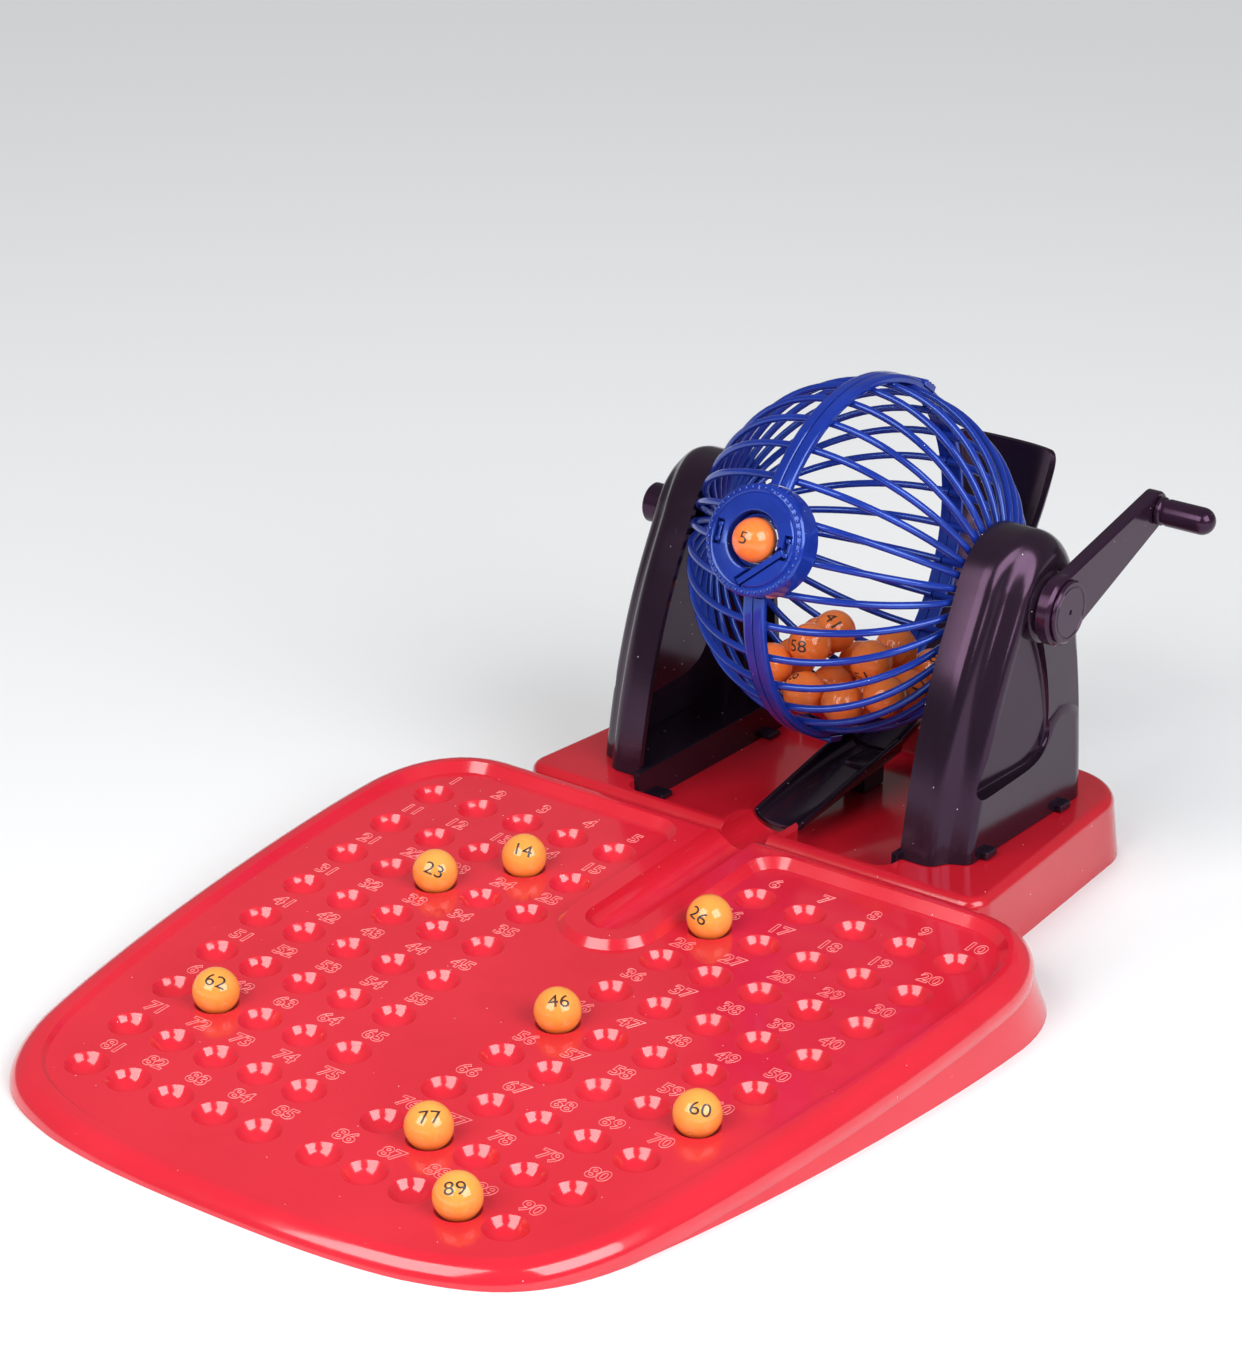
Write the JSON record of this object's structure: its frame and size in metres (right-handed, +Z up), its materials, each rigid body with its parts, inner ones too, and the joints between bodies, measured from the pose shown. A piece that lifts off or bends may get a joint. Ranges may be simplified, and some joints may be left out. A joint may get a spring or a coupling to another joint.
{
  "type": "bingo game",
  "caption": "Bingo game set for the table: red number tray with ball sockets, and a hand-cranked blue ball cage on black stands over a red base, with ball guide and ramp.",
  "frame": {"origin": "on the table, in the middle of the ground that the whole game covers", "axes": "+X along the cage's axle towards the crank, +Y from the number tray to the cage, so the players sit at -Y, and +Z up"},
  "size_m": [0.29, 0.4686, 0.1774],
  "materials": {
    "tray_red": "glossy moulded plastic with satin socket panel",
    "base_red": "glossy moulded plastic",
    "black_plastic": "glossy moulded plastic",
    "cage_blue": "glossy moulded plastic",
    "cage_ball": "smooth ball plastic with printed number",
    "tray_ball": "smooth ball plastic with printed number"
  },
  "bodies": {
    "game_board": {"number_tray": "tray_red", "machine_base": "base_red", "stand_left": "black_plastic", "stand_right": "black_plastic", "ball_guide": "black_plastic", "ball_ramp": "black_plastic"},
    "cage": {"cage_half_right": "cage_blue", "cage_half_left": "cage_blue", "outlet_ring": "cage_blue", "outlet_sleeve": "cage_blue", "band_clip_1": "cage_blue", "band_clip_2": "cage_blue", "band_clip_3": "cage_blue", "crank_arm": "black_plastic", "crank_cap": "black_plastic", "axle_cap": "black_plastic"},
    "crank_knob": {"crank_knob": "black_plastic"},
    "outlet_finger": {"outlet_finger": "cage_blue"},
    "outlet_ball": {"outlet_ball": "cage_ball"},
    "cage_balls": {"cage_ball_1": "cage_ball", "cage_ball_2": "cage_ball", "cage_ball_3": "cage_ball", "cage_ball_4": "cage_ball", "cage_ball_5": "cage_ball", "cage_ball_6": "cage_ball", "cage_ball_7": "cage_ball", "cage_ball_8": "cage_ball", "cage_ball_9": "cage_ball", "cage_ball_10": "cage_ball", "cage_ball_11": "cage_ball", "cage_ball_12": "cage_ball", "cage_ball_13": "cage_ball", "cage_ball_14": "cage_ball", "cage_ball_15": "cage_ball", "cage_ball_16": "cage_ball"},
    "tray_ball_1": {"tray_ball_1": "tray_ball"},
    "tray_ball_2": {"tray_ball_2": "tray_ball"},
    "tray_ball_3": {"tray_ball_3": "tray_ball"},
    "tray_ball_4": {"tray_ball_4": "tray_ball"},
    "tray_ball_5": {"tray_ball_5": "tray_ball"},
    "tray_ball_6": {"tray_ball_6": "tray_ball"},
    "tray_ball_7": {"tray_ball_7": "tray_ball"},
    "tray_ball_8": {"tray_ball_8": "tray_ball"}
  },
  "joints": [
    {"name": "cage_turn", "type": "hinge", "parent": "game_board", "child": "cage", "pos_m": [0, 0.12759, 0.1094], "axis": [1, 0, 0], "continuous": true},
    {"name": "knob_spin", "type": "hinge", "parent": "cage", "child": "crank_knob", "pos_m": [0.0995, 0.19166, 0.12899], "axis": [1, 0, 0], "continuous": true},
    {"name": "finger_bend", "type": "hinge", "parent": "cage", "child": "outlet_finger", "pos_m": [-0.00253, 0.05356, 0.12109], "axis": [0.6822, -0.262, -0.6826], "range_deg": [0, 15], "stiffness_Nm_per_rad": 0.0008},
    {"name": "outlet_ball_out", "type": "slide", "parent": "cage", "child": "outlet_ball", "axis": [0, -0.9336, 0.3584], "range_m": [0, 0.016]},
    {"name": "ball_pile_rock", "type": "hinge", "parent": "game_board", "child": "cage_balls", "pos_m": [0, 0.12759, 0.1094], "axis": [1, 0, 0], "range_deg": [-40, 40]},
    {"name": "tray_ball_1_lift", "type": "slide", "parent": "game_board", "child": "tray_ball_1", "axis": [0, 0, 1], "range_m": [0, 0.03]},
    {"name": "tray_ball_2_lift", "type": "slide", "parent": "game_board", "child": "tray_ball_2", "axis": [0, 0, 1], "range_m": [0, 0.03]},
    {"name": "tray_ball_3_lift", "type": "slide", "parent": "game_board", "child": "tray_ball_3", "axis": [0, 0, 1], "range_m": [0, 0.03]},
    {"name": "tray_ball_4_lift", "type": "slide", "parent": "game_board", "child": "tray_ball_4", "axis": [0, 0, 1], "range_m": [0, 0.03]},
    {"name": "tray_ball_5_lift", "type": "slide", "parent": "game_board", "child": "tray_ball_5", "axis": [0, 0, 1], "range_m": [0, 0.03]},
    {"name": "tray_ball_6_lift", "type": "slide", "parent": "game_board", "child": "tray_ball_6", "axis": [0, 0, 1], "range_m": [0, 0.03]},
    {"name": "tray_ball_7_lift", "type": "slide", "parent": "game_board", "child": "tray_ball_7", "axis": [0, 0, 1], "range_m": [0, 0.03]},
    {"name": "tray_ball_8_lift", "type": "slide", "parent": "game_board", "child": "tray_ball_8", "axis": [0, 0, 1], "range_m": [0, 0.03]}
  ]
}
